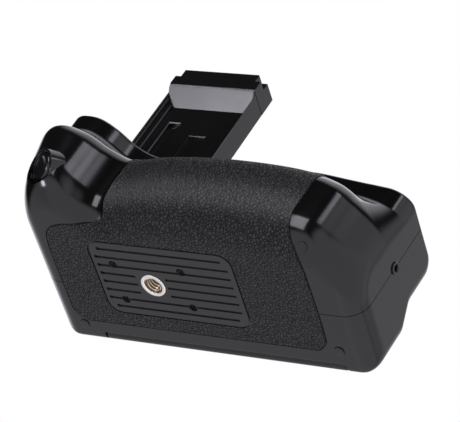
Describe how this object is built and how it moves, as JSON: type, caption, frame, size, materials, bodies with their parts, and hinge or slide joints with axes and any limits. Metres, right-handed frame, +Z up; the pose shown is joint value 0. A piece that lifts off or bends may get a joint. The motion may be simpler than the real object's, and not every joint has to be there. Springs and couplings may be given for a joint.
{
  "type": "camera battery grip",
  "caption": "Long moulded grip that bolts under a camera: battery-shaped post, grooved tripod plate, rubber-covered swell, lobe with a shutter button, rear battery door and a mounting wheel.",
  "frame": {"origin": "mouth of the tripod bush, on the plane of the base", "axes": "+Z up into the camera, -Y the lens side with the rubber swell, +X the jack end"},
  "size_m": [0.1356, 0.0791, 0.1056],
  "materials": {
    "shell": "semi-gloss moulded black",
    "satin": "satin moulded black",
    "rubber": "leather-grained black",
    "plate": "satin grooved black",
    "bush": "plated, pale",
    "black_screw": "blackened steel",
    "steel": "turned",
    "contact": "plated contact",
    "board": "laminate board"
  },
  "bodies": {
    "housing": {"front_shell": "shell", "rear_shell": "shell", "rubber_cover": "rubber", "tripod_plate": "plate", "tripod_bush": "bush", "bush_carrier": "steel", "plate_screw_1": "black_screw", "plate_screw_2": "black_screw", "plate_screw_3": "black_screw", "plate_screw_4": "black_screw", "case_screw_1": "black_screw", "case_screw_2": "black_screw", "case_screw_3": "black_screw", "top_deck": "satin", "deck_pad": "rubber", "locating_pin_1": "steel", "locating_pin_2": "steel", "post_tray": "satin", "post_cap": "satin", "post_contacts": "contact", "battery_cradle": "satin", "bay_contacts_1": "contact", "bay_contacts_2": "contact", "main_board": "board", "remote_jack": "satin", "shutter_bezel": "satin", "shutter_switch": "satin", "lock_switch": "satin", "chassis_plate": "steel", "door_pin": "steel"},
    "door": {"battery_door": "shell"},
    "latch": {"door_latch": "satin"},
    "lock": {"lock_slider": "satin"},
    "shutter": {"shutter_button": "shell"},
    "drive": {"mounting_wheel": "satin", "mounting_screw": "steel"}
  },
  "joints": [
    {"name": "door_hinge", "type": "hinge", "parent": "housing", "child": "door", "pos_m": [0.02, 0.0296, 0.0027], "axis": [-1, 0, 0], "range_deg": [0, 90]},
    {"name": "latch_slide", "type": "slide", "parent": "door", "child": "latch", "axis": [1, 0, 0], "range_m": [0, 0.0025]},
    {"name": "lock_slide", "type": "slide", "parent": "housing", "child": "lock", "axis": [1, 0, 0], "range_m": [0, 0.003]},
    {"name": "shutter_press", "type": "slide", "parent": "housing", "child": "shutter", "axis": [0.4703, 0.6604, 0.5854], "range_m": [0, 0.001], "stiffness_N_per_m": 600, "springref_m": -0.001},
    {"name": "wheel_turn", "type": "hinge", "parent": "housing", "child": "drive", "pos_m": [0.026, 0.0065, 0.045], "axis": [0, 0, 1], "continuous": true}
  ]
}
